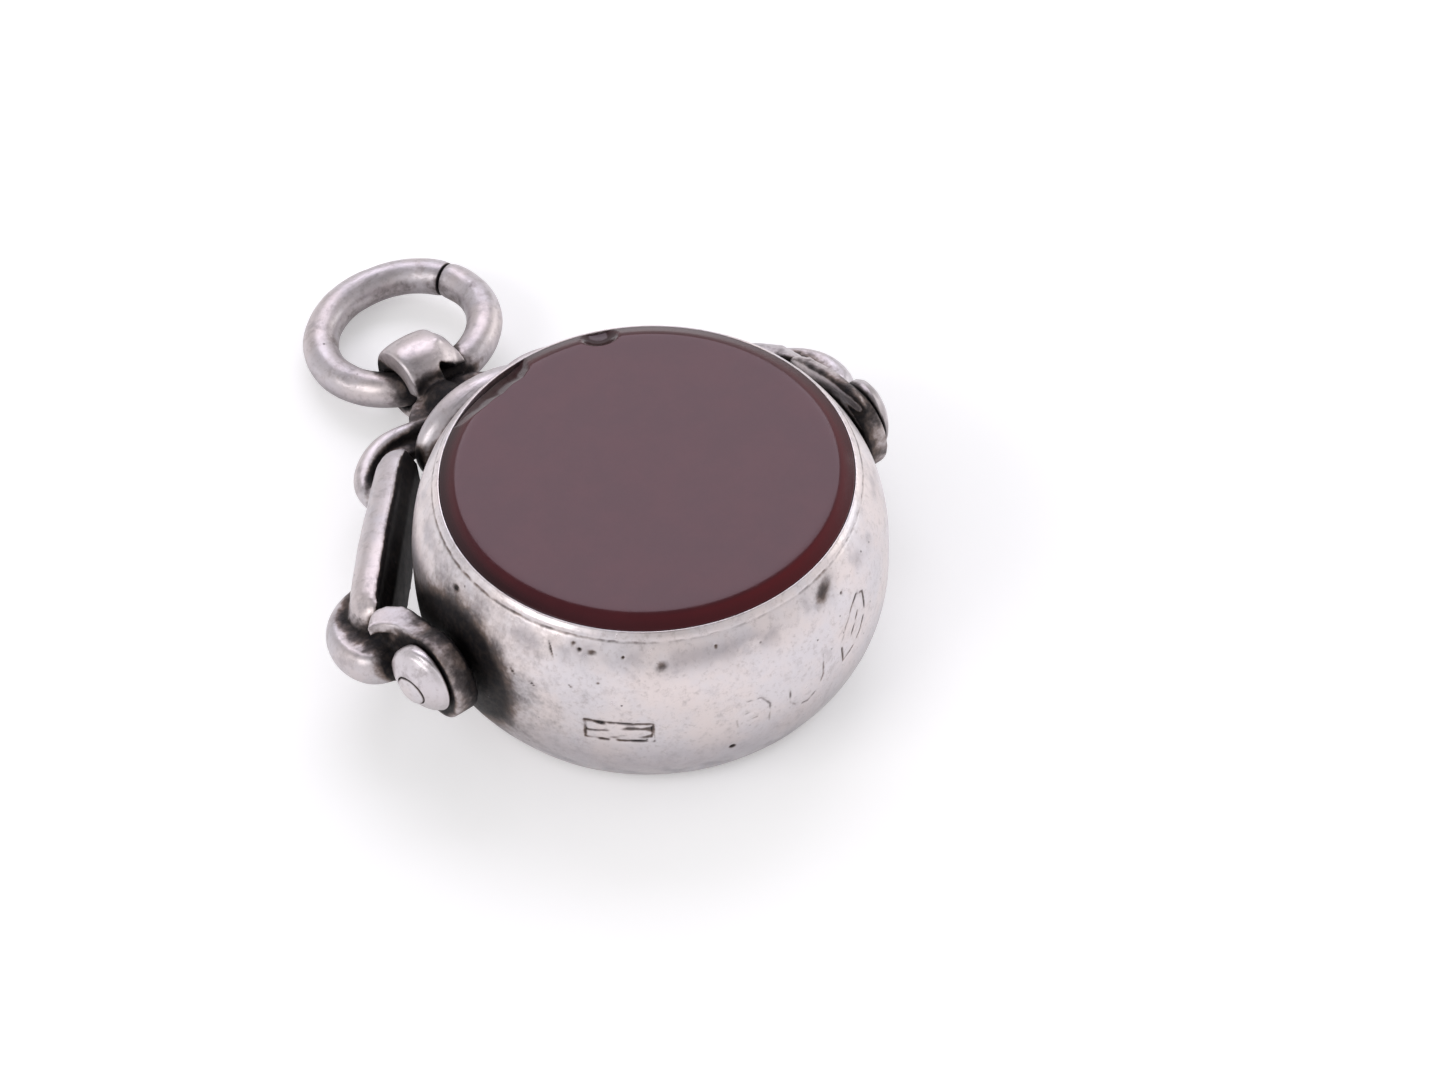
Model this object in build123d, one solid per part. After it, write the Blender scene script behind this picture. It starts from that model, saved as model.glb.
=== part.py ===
from build123d import *
import os
from math import asin, cos, degrees, radians, sin, sqrt

# Swivel fob: a silver drum with a flat stone in each face, spinning on two
# rivets in a scrolled frame that hangs from a jump ring.
# Millimetres. The origin is the centre of the lower stone's flat face, which
# lies on the table. X is the swivel axis, Y runs up to the jump ring, Z is up.

# Drum case and stones
mouth_radius = 8.5        # inside of the bezel lip, where the stone shows
lip_edge = 0.05           # thickness that the burnished lip runs out to
belly_radius = 9.9        # widest part of the barrel wall
lip_height = 4.41         # from mid height to the edge of the lip
swell = 2.83              # how squarely the barrel wall swells
stone_proud = 0.32        # height of the stone's bevel above the lip
bevel_run = 0.66          # width of the bevel, seen from above
seat_depth = 1.55         # from the lip down to the ledge under the stone
ledge_width = 0.7
ledge_thick = 0.6
case_wall = 0.9           # wall of the hollow behind the stones
stone_fit = 0.03          # gap between stone and setting
chip_turn = 66.5          # the round chip: its angle, and the ball that bites it
chip_inset = 0.2
chip_above = 0.75
chip_ball = 1.2
flake_turn = 106.0        # the long flake, the same way
flake_outset = 0.9
flake_above = 1.6
flake_ball = 2.45

# Rivet posts and buttons
post_radius = 0.65
post_standing = 0.99      # length of the rivet's end inside the button
post_root = 0.7           # length of post sunk in the case wall
post_round = 0.12         # rounding of the hammered end
button_radius = 1.5
button_thick = 1.05
button_rise = 0.25        # the worn buttons sit off the rivet's centre
button_fit = 0.03
ear_fit = 0.05            # running gap round the post in the ear
ear_gap = 0.06            # side play between ear and button
button_gap = 0.1          # space round the button as it turns

# Ears: upright tabs beside the drum whose tops curl outwards
ear_room = 0.3            # between the drum wall and the ear
ear_thick = 1.1
ear_radius = 1.88         # half the tab's width, and its rounded foot
ear_waist = 0.3           # the tab is this much narrower above its foot
ear_curl_top = 3.35       # height of the curl's crest above the swivel axis
ear_curl_reach = 2.1      # from the ear's inner face to the tip of the curl
ear_curl_under = 1.2      # the curl is cut away below this height above the axis
ear_curl_drop = 0.75      # how far the tip hangs below the crest
ear_curl_worn = 0.1       # the right curl is worn back to this far outside its ear

# Shoulders: half-round straps, flat towards the drum, and their scrolls
strap_room = 0.88         # between the drum wall and the strap's flat face
strap_lean = 48.6         # turn of the strap's outward side from straight up
strap_up = 5.5            # length above the foot of the stand-off
strap_down = 4.1          # length below it
strap_rise = 1.6          # thickness at the middle of the strap
strap_width = 3.5
strap_top_rise = 1.25
strap_top_width = 3.0
strap_foot_rise = 1.5
strap_foot_width = 3.3
strap_corner = 0.3        # rounding of the strap's inner edges
strap_end = 0.9           # length of the rounded end
strap_taper = 0.92        # size of the rounded end where it leaves the strap
heel_stand = 0.06             # from the ear's inner face out to the scroll's centre
heel_up = 3.88                # from the swivel axis to the scroll's centre
heel_radius = 2.52            # of the scroll's middle line
heel_thick = 1.05
heel_height = 1.6
heel_drop = 0.37              # the scroll lies this far below the swivel axis
heel_start = 97.0             # angles of the scroll, from straight outwards
heel_end = -20.0
heel_tuck_radius = 1.05       # radius of the turn that brings it in to the ear
dish_thick = 0.7
dish_drop = 0.3               # the floor inside the scroll lies below its middle
dish_room = 0.4               # the floor starts this far outside the strap's flat face
volute_wire = 0.9
volute_root_aside = 0.97      # its start, from the frame's middle
volute_root_height = 0.17     # and above the cap's crest
volute_route = (              # from there round and under the strap's top, in shares of
    (0.26, 1.285, 0.0),       # the strap's distance from the drum axis
    (0.362, 1.294, 0.0),
    (0.473, 1.248, 0.0),
    (0.552, 1.169, 0.0),
    (0.589, 1.076, -0.009),
    (0.547, 0.997, -0.056),
    (0.473, 0.997, -0.093),
    (0.399, 1.067, -0.102),
    (0.385, 1.122, -0.102),
)

# Cap, neck and eye at the top of the frame
drum_gap = 0.45           # least room between the frame and the turning drum
cap_rise = 2.0            # from the drum wall to the dome's middle
cap_length = 7.2
cap_thick = 2.7
cap_height = 4.8
eye_rise = 4.95           # from the dome's middle to the eye's centre
eye_hole_radius = 1.38
eye_thick = 0.46
eye_width = 2.3
eye_cut = (0.3, 0.55)      # the loop is cut back beside the neck, from its middle
neck_aside = -0.3         # the neck is soldered a little to the left
neck_width = 1.5
neck_thick = 1.4

# Jump ring, lying through the eye with its far end on the table
wire_radius = 0.81
ring_radius = 3.68
ring_aside = 1.22         # the ring has slid this far to the right
ring_rise = 3.043         # from the eye's centre to the ring's centre, on the table
ring_pitch = 6.6          # the end in the eye is held up
ring_roll = 4.0           # and the right side a little too
seam_gap = 0.05
seam_turn = 24.5          # place of the butted seam round the ring
table_gap = 0.01          # between the ring's far end and the table

half_height = lip_height + stone_proud
rim_radius = mouth_radius + lip_edge
ear_inner = belly_radius + ear_room
button_base = ear_inner + ear_thick + ear_gap
post_reach = button_base + post_standing
ear_curl_tip = ear_inner + ear_curl_reach
strap_stand = belly_radius + strap_room
heel_centre = (ear_inner + heel_stand, heel_up)
cap_stand = belly_radius + cap_rise
eye_stand = cap_stand + eye_rise
eye_radius = eye_hole_radius + eye_thick
droop = degrees(asin((half_height - eye_radius) / eye_stand))
ring_stand = eye_stand * cos(radians(droop)) + ring_rise


def barrel_radius(height):
    """Outer radius of the drum wall at a height from its middle."""
    return belly_radius - (belly_radius - rim_radius) * abs(height / lip_height) ** swell


def make_case():
    """Hollow barrel wall with a stone seat at each face and a post at each side."""
    steps = 12
    heights = [lip_height * i / steps for i in range(-steps, steps + 1)]
    outer = Spline(*[(barrel_radius(h), h) for h in heights])
    ledge = lip_height - seat_depth
    inner = Polyline(
        (rim_radius, lip_height),
        (mouth_radius, lip_height),
        (mouth_radius, ledge),
        (mouth_radius - ledge_width, ledge),
        (mouth_radius - ledge_width, ledge - ledge_thick),
        (belly_radius - case_wall, ledge - ledge_thick),
        (belly_radius - case_wall, ledge_thick - ledge),
        (mouth_radius - ledge_width, ledge_thick - ledge),
        (mouth_radius - ledge_width, -ledge),
        (mouth_radius, -ledge),
        (mouth_radius, -lip_height),
        (rim_radius, -lip_height),
    )
    wall = revolve(Plane.XZ * make_face(outer + inner), Axis.Z)
    for side in (-1, 1):
        start = belly_radius - post_root
        post = Cylinder(post_radius, post_reach - start, align=(Align.CENTER, Align.CENTER, Align.MIN))
        post = fillet(post.edges().group_by(Axis.Z)[-1], post_round)
        wall += Rot(0, 90 * side, 0) * Pos(0, 0, start) * post
    return wall


def make_stone():
    """Flat cut stone with a bevelled edge, face up, about the drum's middle."""
    girdle = mouth_radius - stone_fit
    bottom = lip_height - seat_depth + stone_fit
    table = mouth_radius - bevel_run
    outline = Polyline(
        (0, bottom),
        (girdle, bottom),
        (girdle, lip_height),
        (table, half_height),
        (0, half_height),
        (0, bottom),
    )
    return revolve(Plane.XZ * make_face(outline), Axis.Z)


def chipped(stone):
    """The upper stone, with a round chip and a long flake off its far edge."""
    chip = Pos(mouth_radius - chip_inset, 0, half_height + chip_above) * Sphere(chip_ball)
    flake = Pos(mouth_radius + flake_outset, 0, half_height + flake_above) * Sphere(flake_ball)
    return stone - Rot(0, 0, chip_turn) * chip - Rot(0, 0, flake_turn) * flake


def make_button(rise):
    """Domed riveted washer on the XY plane, bored off centre for the post."""
    rim = button_thick * 0.45
    dome = (button_radius ** 2 + (button_thick - rim) ** 2) / (2 * (button_thick - rim))
    button = Pos(0, 0, button_thick - dome) * Sphere(dome)
    button &= Cylinder(button_radius, button_thick, align=(Align.CENTER, Align.CENTER, Align.MIN))
    return button - Pos(rise, 0, 0) * Cylinder(post_radius + button_fit, 3 * button_thick)


def half_round(rise, width):
    """Half-round face: flat side on the Y axis, crest towards +X."""
    flat = Line((0, -width / 2), (0, width / 2))
    crest = ThreePointArc((0, width / 2), (rise, 0), (0, -width / 2))
    face = make_face(flat + crest)
    return fillet(face.vertices(), strap_corner)


def make_strap():
    """Right shoulder strap, lofted through half-round sections."""
    out = Vector(sin(radians(strap_lean)), cos(radians(strap_lean)), 0)
    down = Vector(cos(radians(strap_lean)), -sin(radians(strap_lean)), 0)
    stations = (
        (-strap_up, strap_top_rise, strap_top_width),
        (0.0, strap_rise, strap_width),
        (strap_down, strap_foot_rise, strap_foot_width),
    )
    faces = []
    for along, rise, width in stations:
        at = out * strap_stand + down * along
        faces.append(Plane(origin=at, x_dir=out, z_dir=down) * half_round(rise, width))
    strap = loft(faces)
    for along, rise, width in (stations[0], stations[-1]):
        end = scale(Sphere(strap_taper), by=(rise, width / 2, strap_end))
        half = Box(rise, width, 2 * strap_end, align=(Align.MIN, Align.CENTER, Align.CENTER))
        strap += Plane(origin=out * strap_stand + down * along, x_dir=out, z_dir=down) * (end & half)
    return strap


def make_ear():
    """Right ear: a tab curled outwards at its top, rounded and bored at its foot."""
    inner, outer = ear_inner, ear_inner + ear_thick
    crest, tip = ear_curl_top, ear_curl_top - ear_curl_drop
    plan = make_face(
        Line((inner, -ear_radius), (inner, crest - 1.55 * ear_thick))
        + Spline(
            (inner, crest - 1.55 * ear_thick),
            (inner + 0.32 * ear_thick, crest - 0.32 * ear_thick),
            (inner + 0.86 * ear_thick, crest),
            (ear_curl_tip, tip),
            tangents=((0, 1), (0.75, -1)),
        )
        + Spline(
            (ear_curl_tip, tip),
            (outer + 0.23 * ear_thick, crest - ear_thick),
            (outer, crest - 2.18 * ear_thick),
            tangents=((-1, 0.35), (0, -1)),
        )
        + Line((outer, crest - 2.18 * ear_thick), (outer, -ear_radius))
        + Line((outer, -ear_radius), (inner, -ear_radius))
    )
    tab = extrude(plan, ear_radius, both=True)
    height = crest + 2 * ear_radius
    side = Circle(ear_radius) + Pos(height / 2, 0) * Rectangle(height, 2 * ear_radius - ear_waist)
    foot = Plane(origin=(0, 0, 0), x_dir=(0, 1, 0), z_dir=(1, 0, 0)) * side
    tab &= extrude(foot, 2 * ear_curl_tip)
    size = 2 * ear_curl_reach
    under = Box(size, size, size, align=(Align.MIN, Align.MIN, Align.MAX))
    tab -= Pos(outer + 0.14 * ear_thick, crest - 2 * ear_thick, ear_curl_under) * under
    bore = Rot(0, 90, 0) * Cylinder(post_radius + ear_fit, 4 * ear_curl_tip)
    return tab - bore


def make_heel():
    """Right heel: the thick scroll between strap and ear, and the floor in it."""
    bulge = CenterArc((0, 0), heel_radius, heel_start, heel_end - heel_start)
    tuck = JernArc(bulge @ 1, bulge % 1, heel_tuck_radius, -90 - heel_end)
    path = bulge + tuck + Line(tuck @ 1, tuck @ 1 - (heel_tuck_radius / 2, 0))
    start = Plane(origin=path @ 0, z_dir=path % 0)
    rim = sweep(start * Ellipse(heel_thick / 2, heel_height / 2), path=path)
    floor = Pos(0, 0, -dish_drop) * Cylinder(heel_radius, dish_thick)
    place = Pos(*heel_centre, -heel_drop)
    floor = place * floor - Cylinder(strap_stand + dish_room, 4 * heel_height)
    return place * rim + floor


def make_volute():
    """Right volute: wire from the neck, round and under the top of the strap."""
    root = (volute_root_aside, cap_stand + cap_thick / 2 + volute_root_height, 0)
    points = [(x * strap_stand, y * strap_stand, z * strap_stand) for x, y, z in volute_route]
    path = Spline(root, *points)
    wire = sweep(Plane(origin=path @ 0, z_dir=path % 0) * Circle(volute_wire / 2), path=path)
    return wire + Pos(path @ 1) * Sphere(volute_wire / 2)


def make_cap():
    """Domed bar across the top of the frame, hollowed to clear the drum."""
    dome = scale(Sphere(0.5), by=(cap_length, cap_thick, cap_height))
    dome = Pos(0, cap_stand, 0) * dome
    return dome - Cylinder(belly_radius + drum_gap, 2 * cap_height)


def make_eye():
    """Broad loop whose hole runs along X, with a short neck down to the cap."""
    middle = eye_hole_radius + eye_thick / 2
    ring = revolve(Pos(0, middle) * Ellipse(eye_width / 2, eye_thick / 2), Axis.X)
    corner = Box(eye_width, 2 * eye_radius, 4 * eye_radius, align=(Align.MIN, Align.MAX, Align.CENTER))
    ring = Pos(0, eye_stand, 0) * (ring - Pos(eye_cut[0], -eye_cut[1], 0) * corner)
    foot = Plane(origin=(neck_aside, cap_stand, 0), x_dir=(1, 0, 0), z_dir=(0, 1, 0))
    length = eye_stand - middle - cap_stand
    return ring + extrude(foot * Ellipse(neck_width / 2, neck_thick / 2), length)


def make_frame():
    """The whole frame, flat, as one soldered piece."""
    ear = make_ear()
    size = 4 * ear_curl_top
    worn = Pos(ear_inner + ear_thick + ear_curl_worn, 0, 0) * Box(
        size, size, size, align=(Align.MIN, Align.CENTER, Align.CENTER)
    )
    half = [make_strap(), make_heel(), make_volute()]
    frame = make_cap() + make_eye() + (ear - worn) + mirror(ear, Plane.YZ)
    for piece in half:
        frame = frame + piece + mirror(piece, Plane.YZ)
    swept = button_radius + button_rise + button_gap
    room = Cylinder(swept, 2 * ear_curl_reach, align=(Align.CENTER, Align.CENTER, Align.MIN))
    for side in (-1, 1):
        frame -= Rot(0, 90 * side, 0) * Pos(0, 0, ear_inner + ear_thick) * room
    return frame


def make_ring():
    """Wire ring with a butted seam, flat about the origin."""
    gap = degrees(seam_gap / ring_radius)
    wire = Plane.XZ * Pos(ring_radius, 0) * Circle(wire_radius)
    return Rot(0, 0, seam_turn) * revolve(wire, Axis.Z, revolution_arc=360 - gap)


def lay_ring(ring):
    """The ring as it lies: held up a little by the eye, far end on the table."""
    slope = sqrt(1 - (cos(radians(ring_pitch)) * cos(radians(ring_roll))) ** 2)
    height = ring_radius * slope + wire_radius + table_gap
    return Pos(ring_aside, ring_stand, height) * Rot(-ring_pitch, -ring_roll, 0) * ring


if __name__ == "__main__":
    os.makedirs("parts", exist_ok=True)
    up = Pos(0, 0, half_height)
    stone = make_stone()
    pieces = {
        "drum_case": up * make_case(),
        "upper_stone": up * chipped(stone),
        "lower_stone": up * Rot(180, 0, 0) * stone,
        "left_button": up * Rot(0, -90, 0) * Pos(button_rise, 0, button_base) * make_button(-button_rise),
        "right_button": up * Rot(0, 90, 0) * Pos(-button_rise, 0, button_base) * make_button(button_rise),
        "swivel_frame": up * Rot(-droop, 0, 0) * make_frame(),
        "jump_ring": lay_ring(make_ring()),
    }
    for name, piece in pieces.items():
        print(name, len(piece.solids()), round(piece.volume, 2), piece.is_valid)
        export_step(piece, "parts/" + name + ".step")
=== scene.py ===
import bpy
import bmesh
import math
import numpy as np
from mathutils import Matrix, Vector, noise
from mathutils.bvhtree import BVHTree


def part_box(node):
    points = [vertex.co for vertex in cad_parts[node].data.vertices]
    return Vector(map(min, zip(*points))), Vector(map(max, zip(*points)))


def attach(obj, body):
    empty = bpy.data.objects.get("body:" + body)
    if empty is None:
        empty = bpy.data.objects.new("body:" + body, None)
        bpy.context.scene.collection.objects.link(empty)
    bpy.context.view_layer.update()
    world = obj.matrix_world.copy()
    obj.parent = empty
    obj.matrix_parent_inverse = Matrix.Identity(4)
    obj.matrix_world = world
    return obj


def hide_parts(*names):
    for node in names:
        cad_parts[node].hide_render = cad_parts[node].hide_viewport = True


# Swivel fob: silver drum with two flat stones, spinning in a scrolled frame.
# Meshes are made in millimetres about the frame's origin and scaled at the end.

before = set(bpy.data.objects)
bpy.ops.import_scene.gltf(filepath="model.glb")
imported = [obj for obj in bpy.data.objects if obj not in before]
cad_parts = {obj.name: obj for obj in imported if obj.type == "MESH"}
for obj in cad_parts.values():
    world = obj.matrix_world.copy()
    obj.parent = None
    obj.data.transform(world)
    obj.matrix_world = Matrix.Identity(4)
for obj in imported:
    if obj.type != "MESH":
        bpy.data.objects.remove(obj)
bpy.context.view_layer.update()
midHeight = 4.73                     # height of the swivel axis above the table
mm = 0.001


# mesh helpers

def makePiece(name, verts, faces, slot, body, stands):
    mesh = bpy.data.meshes.new(name)
    mesh.from_pydata([tuple(v) for v in verts], [], [tuple(f) for f in faces])
    bm = bmesh.new()
    bm.from_mesh(mesh)
    bmesh.ops.holes_fill(bm, edges=[e for e in bm.edges if e.is_boundary])
    bmesh.ops.recalc_face_normals(bm, faces=bm.faces)
    for face in bm.faces:
        face.smooth = True
    bm.to_mesh(mesh)
    bm.free()
    piece = bpy.data.objects.new(name, mesh)
    bpy.context.scene.collection.objects.link(piece)
    piece["slot"], piece["body"], piece["stands"] = slot, body, stands
    return piece


def gridFaces(rows, columns, closeRows=False):
    # quads of a grid whose columns run all the way round
    r = np.arange(rows if closeRows else rows - 1)[:, None]
    c = np.arange(columns)[None, :]
    r2, c2 = (r + 1) % rows, (c + 1) % columns
    quads = np.stack([r * columns + c, r * columns + c2, r2 * columns + c2, r2 * columns + c], axis=-1)
    return quads.reshape(-1, 4)


def smoothStep(low, high, value):
    t = np.clip((value - low) / (high - low), 0.0, 1.0)
    return t * t * (3 - 2 * t)


def wobble(points, size, seed):
    # soft noise from -1 to 1 at each point, with bumps about that size in mm
    shift = Vector((seed * 7.3, seed * 3.1, seed * 5.7))
    return np.array([noise.noise(Vector(p) / size + shift) for p in points])


def turned(points, matrix):
    m = np.array(matrix)
    return np.asarray(points) @ m[:3, :3].T + m[:3, 3]


# drum

drum = {
    "mouth": 8.5, "lip": 8.55, "belly": 9.9, "lipHeight": 4.41, "swell": 2.83,
    "seat": 2.86, "ledge": 7.8, "ledgeBack": 2.26, "inside": 9.0,
    # the wall's grid is finest round the punches: height and its row, angle and its column
    "rowPlaces": ((-4.34, 0), (-3.9, 9), (-1.7, 30), (2.3, 90), (3.9, 108), (4.34, 117)),
    "columnPlaces": ((0, 0), (170, 185), (205, 250), (300, 600), (360, 690)),
    "unevenness": 0.035, "lipBead": 0.05, "grooveHeight": 4.07,
    "postRadius": 0.65, "postReach": 12.35, "postRoot": 9.3,
}

# worn punch outlines on the wall: angle and height of the middle, depth, lines in mm about it
punches = [
    (224.7, -0.2, 0.042, [[(-1.4, 0.5), (1.4, 0.5), (1.4, -0.55), (-1.4, -0.55), (-1.4, 0.5)]]),
    (257.0, -0.2, 0.03, [[(-0.7, -0.9), (-0.75, 0.2), (-0.3, 0.8), (0.35, 0.75), (0.75, 0.2), (0.7, -0.85)],
                         [(-0.35, 0.1), (0.1, 0.16)], [(-0.3, -0.35), (0.15, -0.3)]]),
    (272.3, 0.0, 0.035, [[(-0.9, 0.3), (-0.92, -0.6), (-0.55, -1.05), (0, -1.15), (0.55, -0.8), (0.85, -0.2),
                          (0.9, 0.95)]]),
    (289.5, 0.7, 0.045, [[(-0.85, -1.2), (-0.95, -0.1), (-0.6, 0.6), (0, 1.2), (0.5, 1.5), (0.95, 1.25), (0.9, 0.3),
                          (0.45, -0.5), (-0.1, -0.95), (-0.85, -1.2)], [(-0.3, -0.2), (0.35, 0.7)]]),
]
# pits and nicks: angle, height, half length, half width, lean, depth
wallPits = [
    (251.7, -2.01, 0.13, 0.1, 0, 0.1), (249.5, 3.6, 0.1, 0.08, 0, 0.05), (235.5, 3.2, 0.3, 0.22, 20, 0.03),
    (218.0, 3.6, 0.22, 0.1, 10, 0.035), (213.0, 3.8, 0.12, 0.08, 0, 0.035), (261.0, 3.2, 0.09, 0.07, 0, 0.03),
    (207.5, 3.35, 0.3, 0.04, -60, 0.04), (203.5, 1.5, 0.13, 0.035, -40, 0.03), (198.0, 1.7, 0.14, 0.035, -50, 0.03),
    (213.2, 2.0, 0.12, 0.035, -35, 0.03), (220.0, 2.4, 0.1, 0.04, -20, 0.03), (287.5, 2.9, 0.1, 0.08, 0, 0.04),
    (175.5, 3.4, 0.16, 0.1, 0, 0.04), (214.8, 3.62, 0.1, 0.07, 0, 0.05), (226.0, 3.55, 0.08, 0.06, 0, 0.05),
    (282.5, 3.5, 0.85, 0.4, 25, 0.038), (60.0, 1.0, 0.2, 0.05, 30, 0.04), (110.0, -1.5, 0.25, 0.05, -20, 0.04),
]


def barrelRadius(height):
    return drum["belly"] - (drum["belly"] - drum["lip"]) * np.abs(height / drum["lipHeight"]) ** drum["swell"]


def lineDistance(x, y, line):
    best = np.full(np.broadcast(x, y).shape, 9.0)
    for (x0, y0), (x1, y1) in zip(line[:-1], line[1:]):
        dx, dy = x1 - x0, y1 - y0
        t = np.clip(((x - x0) * dx + (y - y0) * dy) / (dx * dx + dy * dy), 0, 1)
        best = np.minimum(best, np.hypot(x - x0 - t * dx, y - y0 - t * dy))
    return best


def wallMarks(angle, height):
    # how far punches, pits and nicks sink into the wall in mm, and how much dirt they hold
    belly, around = drum["belly"], np.radians(angle)
    spots = np.stack([belly * np.cos(around), belly * np.sin(around), height], axis=-1)
    worn = wobble(spots.reshape(-1, 3), 0.42, 12).reshape(angle.shape)
    depth, dirt = np.zeros_like(angle), np.zeros_like(angle)
    for turn, up, deep, lines in punches:
        x, y = np.radians((angle - turn + 180) % 360 - 180) * belly, height - up
        for line in lines:
            mark = np.exp(-(lineDistance(x, y, line) / 0.075) ** 2) * smoothStep(-0.6, 0.15, worn)
            depth = np.maximum(depth, deep * mark)
            dirt = np.maximum(dirt, 7 * deep * mark)
    for turn, up, long, wide, lean, deep in wallPits:
        x, y = np.radians((angle - turn + 180) % 360 - 180) * belly, height - up
        c, s = math.cos(math.radians(lean)), math.sin(math.radians(lean))
        mark = np.exp(-((x * c + y * s) / long) ** 2 - ((y * c - x * s) / wide) ** 2)
        depth += deep * mark
        dirt += 9 * deep * mark
    # thin groove under the burnished lip
    groove = np.exp(-((np.abs(height) - drum["grooveHeight"] - 0.02 * worn) / 0.05) ** 2) * smoothStep(-1.3, 0.4, worn)
    # blotches left in the first, deepest punch
    x, y = np.radians((angle - punches[0][0] + 180) % 360 - 180) * belly, height - punches[0][1]
    streaks = np.stack([0.35 * x, 1.3 * y, 0 * x], axis=-1).reshape(-1, 3)
    blot = smoothStep(0.0, 0.5, wobble(streaks, 0.3, 16).reshape(angle.shape)) * (np.abs(x) < 1.35) * (np.abs(y) < 0.5)
    return depth + 0.02 * groove + 0.02 * blot, dirt + 0.2 * groove + 0.26 * blot


button = {
    "radius": 1.5, "thick": 1.05, "rim": 0.45, "rise": 0.25, "base": 11.36, "hole": 0.68, "edge": 0.1,
    "flats": 0.03, "lean": 0.2, "columns": 144,
}


def makePost(side):
    reach, radius = drum["postReach"], drum["postRadius"]
    profile = [(drum["postRoot"], radius), (reach - 0.1, radius), (reach - 0.03, radius - 0.03),
               (reach, radius - 0.12), (reach + 0.015, 0.3), (reach + 0.02, 0.02)]
    turns = np.radians(np.arange(0, 360, 7.5))
    verts = np.array([(x, r * math.cos(t), r * math.sin(t)) for x, r in profile for t in turns])
    verts[:, 0] += button["lean"] * verts[:, 1] * side * (verts[:, 0] > reach - 0.2)
    return verts * (side, side, 1) + (0, 0, midHeight), gridFaces(len(profile), len(turns))


def makeDrum():
    rows, columns = drum["rowPlaces"][-1][1] + 1, drum["columnPlaces"][-1][1]
    high = drum["lipHeight"]
    outer = np.interp(np.arange(rows), *zip(*[(r, h) for h, r in drum["rowPlaces"]]))
    profile = [(barrelRadius(h), h) for h in outer]
    crown = [(drum["lip"] + 0.04, high - 0.03), (drum["lip"] + 0.005, high - 0.008),
             (drum["mouth"] + 0.012, high), (drum["mouth"], high - 0.03)]
    profile += crown
    inner = [(drum["mouth"], drum["seat"]), (drum["ledge"], drum["seat"]), (drum["ledge"], drum["ledgeBack"]),
             (drum["inside"], drum["ledgeBack"])]
    profile += inner + [(r, -h) for r, h in inner[::-1]]
    profile += [(r, -h) for r, h in crown[::-1]]
    profile = np.array(profile)
    angle = np.interp(np.arange(columns), *zip(*[(c, a) for a, c in drum["columnPlaces"]]))
    turn = np.radians(angle)
    radius = np.repeat(profile[:, 0:1], columns, axis=1)
    height = np.repeat(profile[:, 1:2], columns, axis=1)
    across = np.repeat(angle[None, :], rows, axis=0)
    belly, flat = drum["belly"], 0 * radius[:rows]
    spots = np.stack([belly * np.cos(turn) + flat, belly * np.sin(turn) + flat, height[:rows]], axis=-1).reshape(-1, 3)
    slow = wobble(spots, 4.5, 1).reshape(rows, columns) + 0.4 * wobble(spots, 1.6, 2).reshape(rows, columns)
    fade = 1 - smoothStep(0.75, 1.0, np.abs(height[:rows]) / high)
    radius[:rows] += (slow - 0.9) * drum["unevenness"] * fade
    # burnished bead along the lip, heavier in places
    lipBump = np.exp(-((np.abs(height[:rows]) - high + 0.16) / 0.1) ** 2)
    radius[:rows] += lipBump * drum["lipBead"] * (0.5 + 0.5 * wobble(spots, 2.6, 3).reshape(rows, columns))
    radius[:rows] -= wallMarks(across, height[:rows])[0]
    verts = np.stack([radius * np.cos(turn), radius * np.sin(turn), height + midHeight], axis=-1).reshape(-1, 3)
    faces = gridFaces(len(profile), columns, True)
    allVerts, allFaces = [verts], [faces]
    start = len(verts)
    for side in (-1, 1):
        postVerts, postFaces = makePost(side)
        allVerts.append(postVerts)
        allFaces.append(postFaces + start)
        start += len(postVerts)
    return makePiece("drumWall", np.concatenate(allVerts), np.concatenate(allFaces), "silver", "drum", "drum_case")


# stones

stone = {
    "girdle": 8.47, "lipHeight": 4.41, "top": 4.73, "table": 7.84, "bottom": 2.89,
    "edge": 0.08, "columns": 540,
    # angle by angle: dirt packed in the joint with the lip together with painted shade of the lip, and a painted glow
    # of light coming through the edge
    "packedAndShaded": ((0, 0.5), (40, 0.5), (90, 0.75), (185, 0.85), (215, 0.3), (300, 0.25), (325, 0.45), (360, 0.5)),
    "paintedGlow": ((0, 0.4), (30, 0), (220, 0), (280, 1), (330, 0.8), (360, 0.4)),
}
# round bite out of the upper stone's far edge: angle, reach, height over the table, radius
chip = (66.5, 8.3, 0.75, 1.2)
# long shallow flake beside it: angles and the radii where it starts, and how steeply it falls
flake = {"turns": (87, 89.5, 92, 95.6, 100, 104.9, 108.5, 112, 117, 121.6, 125),
         "starts": (8.4, 7.95, 7.62, 7.42, 7.47, 7.43, 7.55, 7.6, 7.78, 7.9, 8.4), "fall": 0.62}


def stoneTop(radius):
    # height of the flat table, the bevel and the softened edge between them
    slope = (stone["top"] - stone["lipHeight"]) / (stone["girdle"] + 0.03 - stone["table"])
    bevel = stone["top"] - (radius - stone["table"]) * slope
    soft = stone["edge"] * slope
    return stone["top"] - soft * np.log1p(np.exp(np.clip((stone["top"] - bevel) / soft, -30, 30)))


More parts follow.
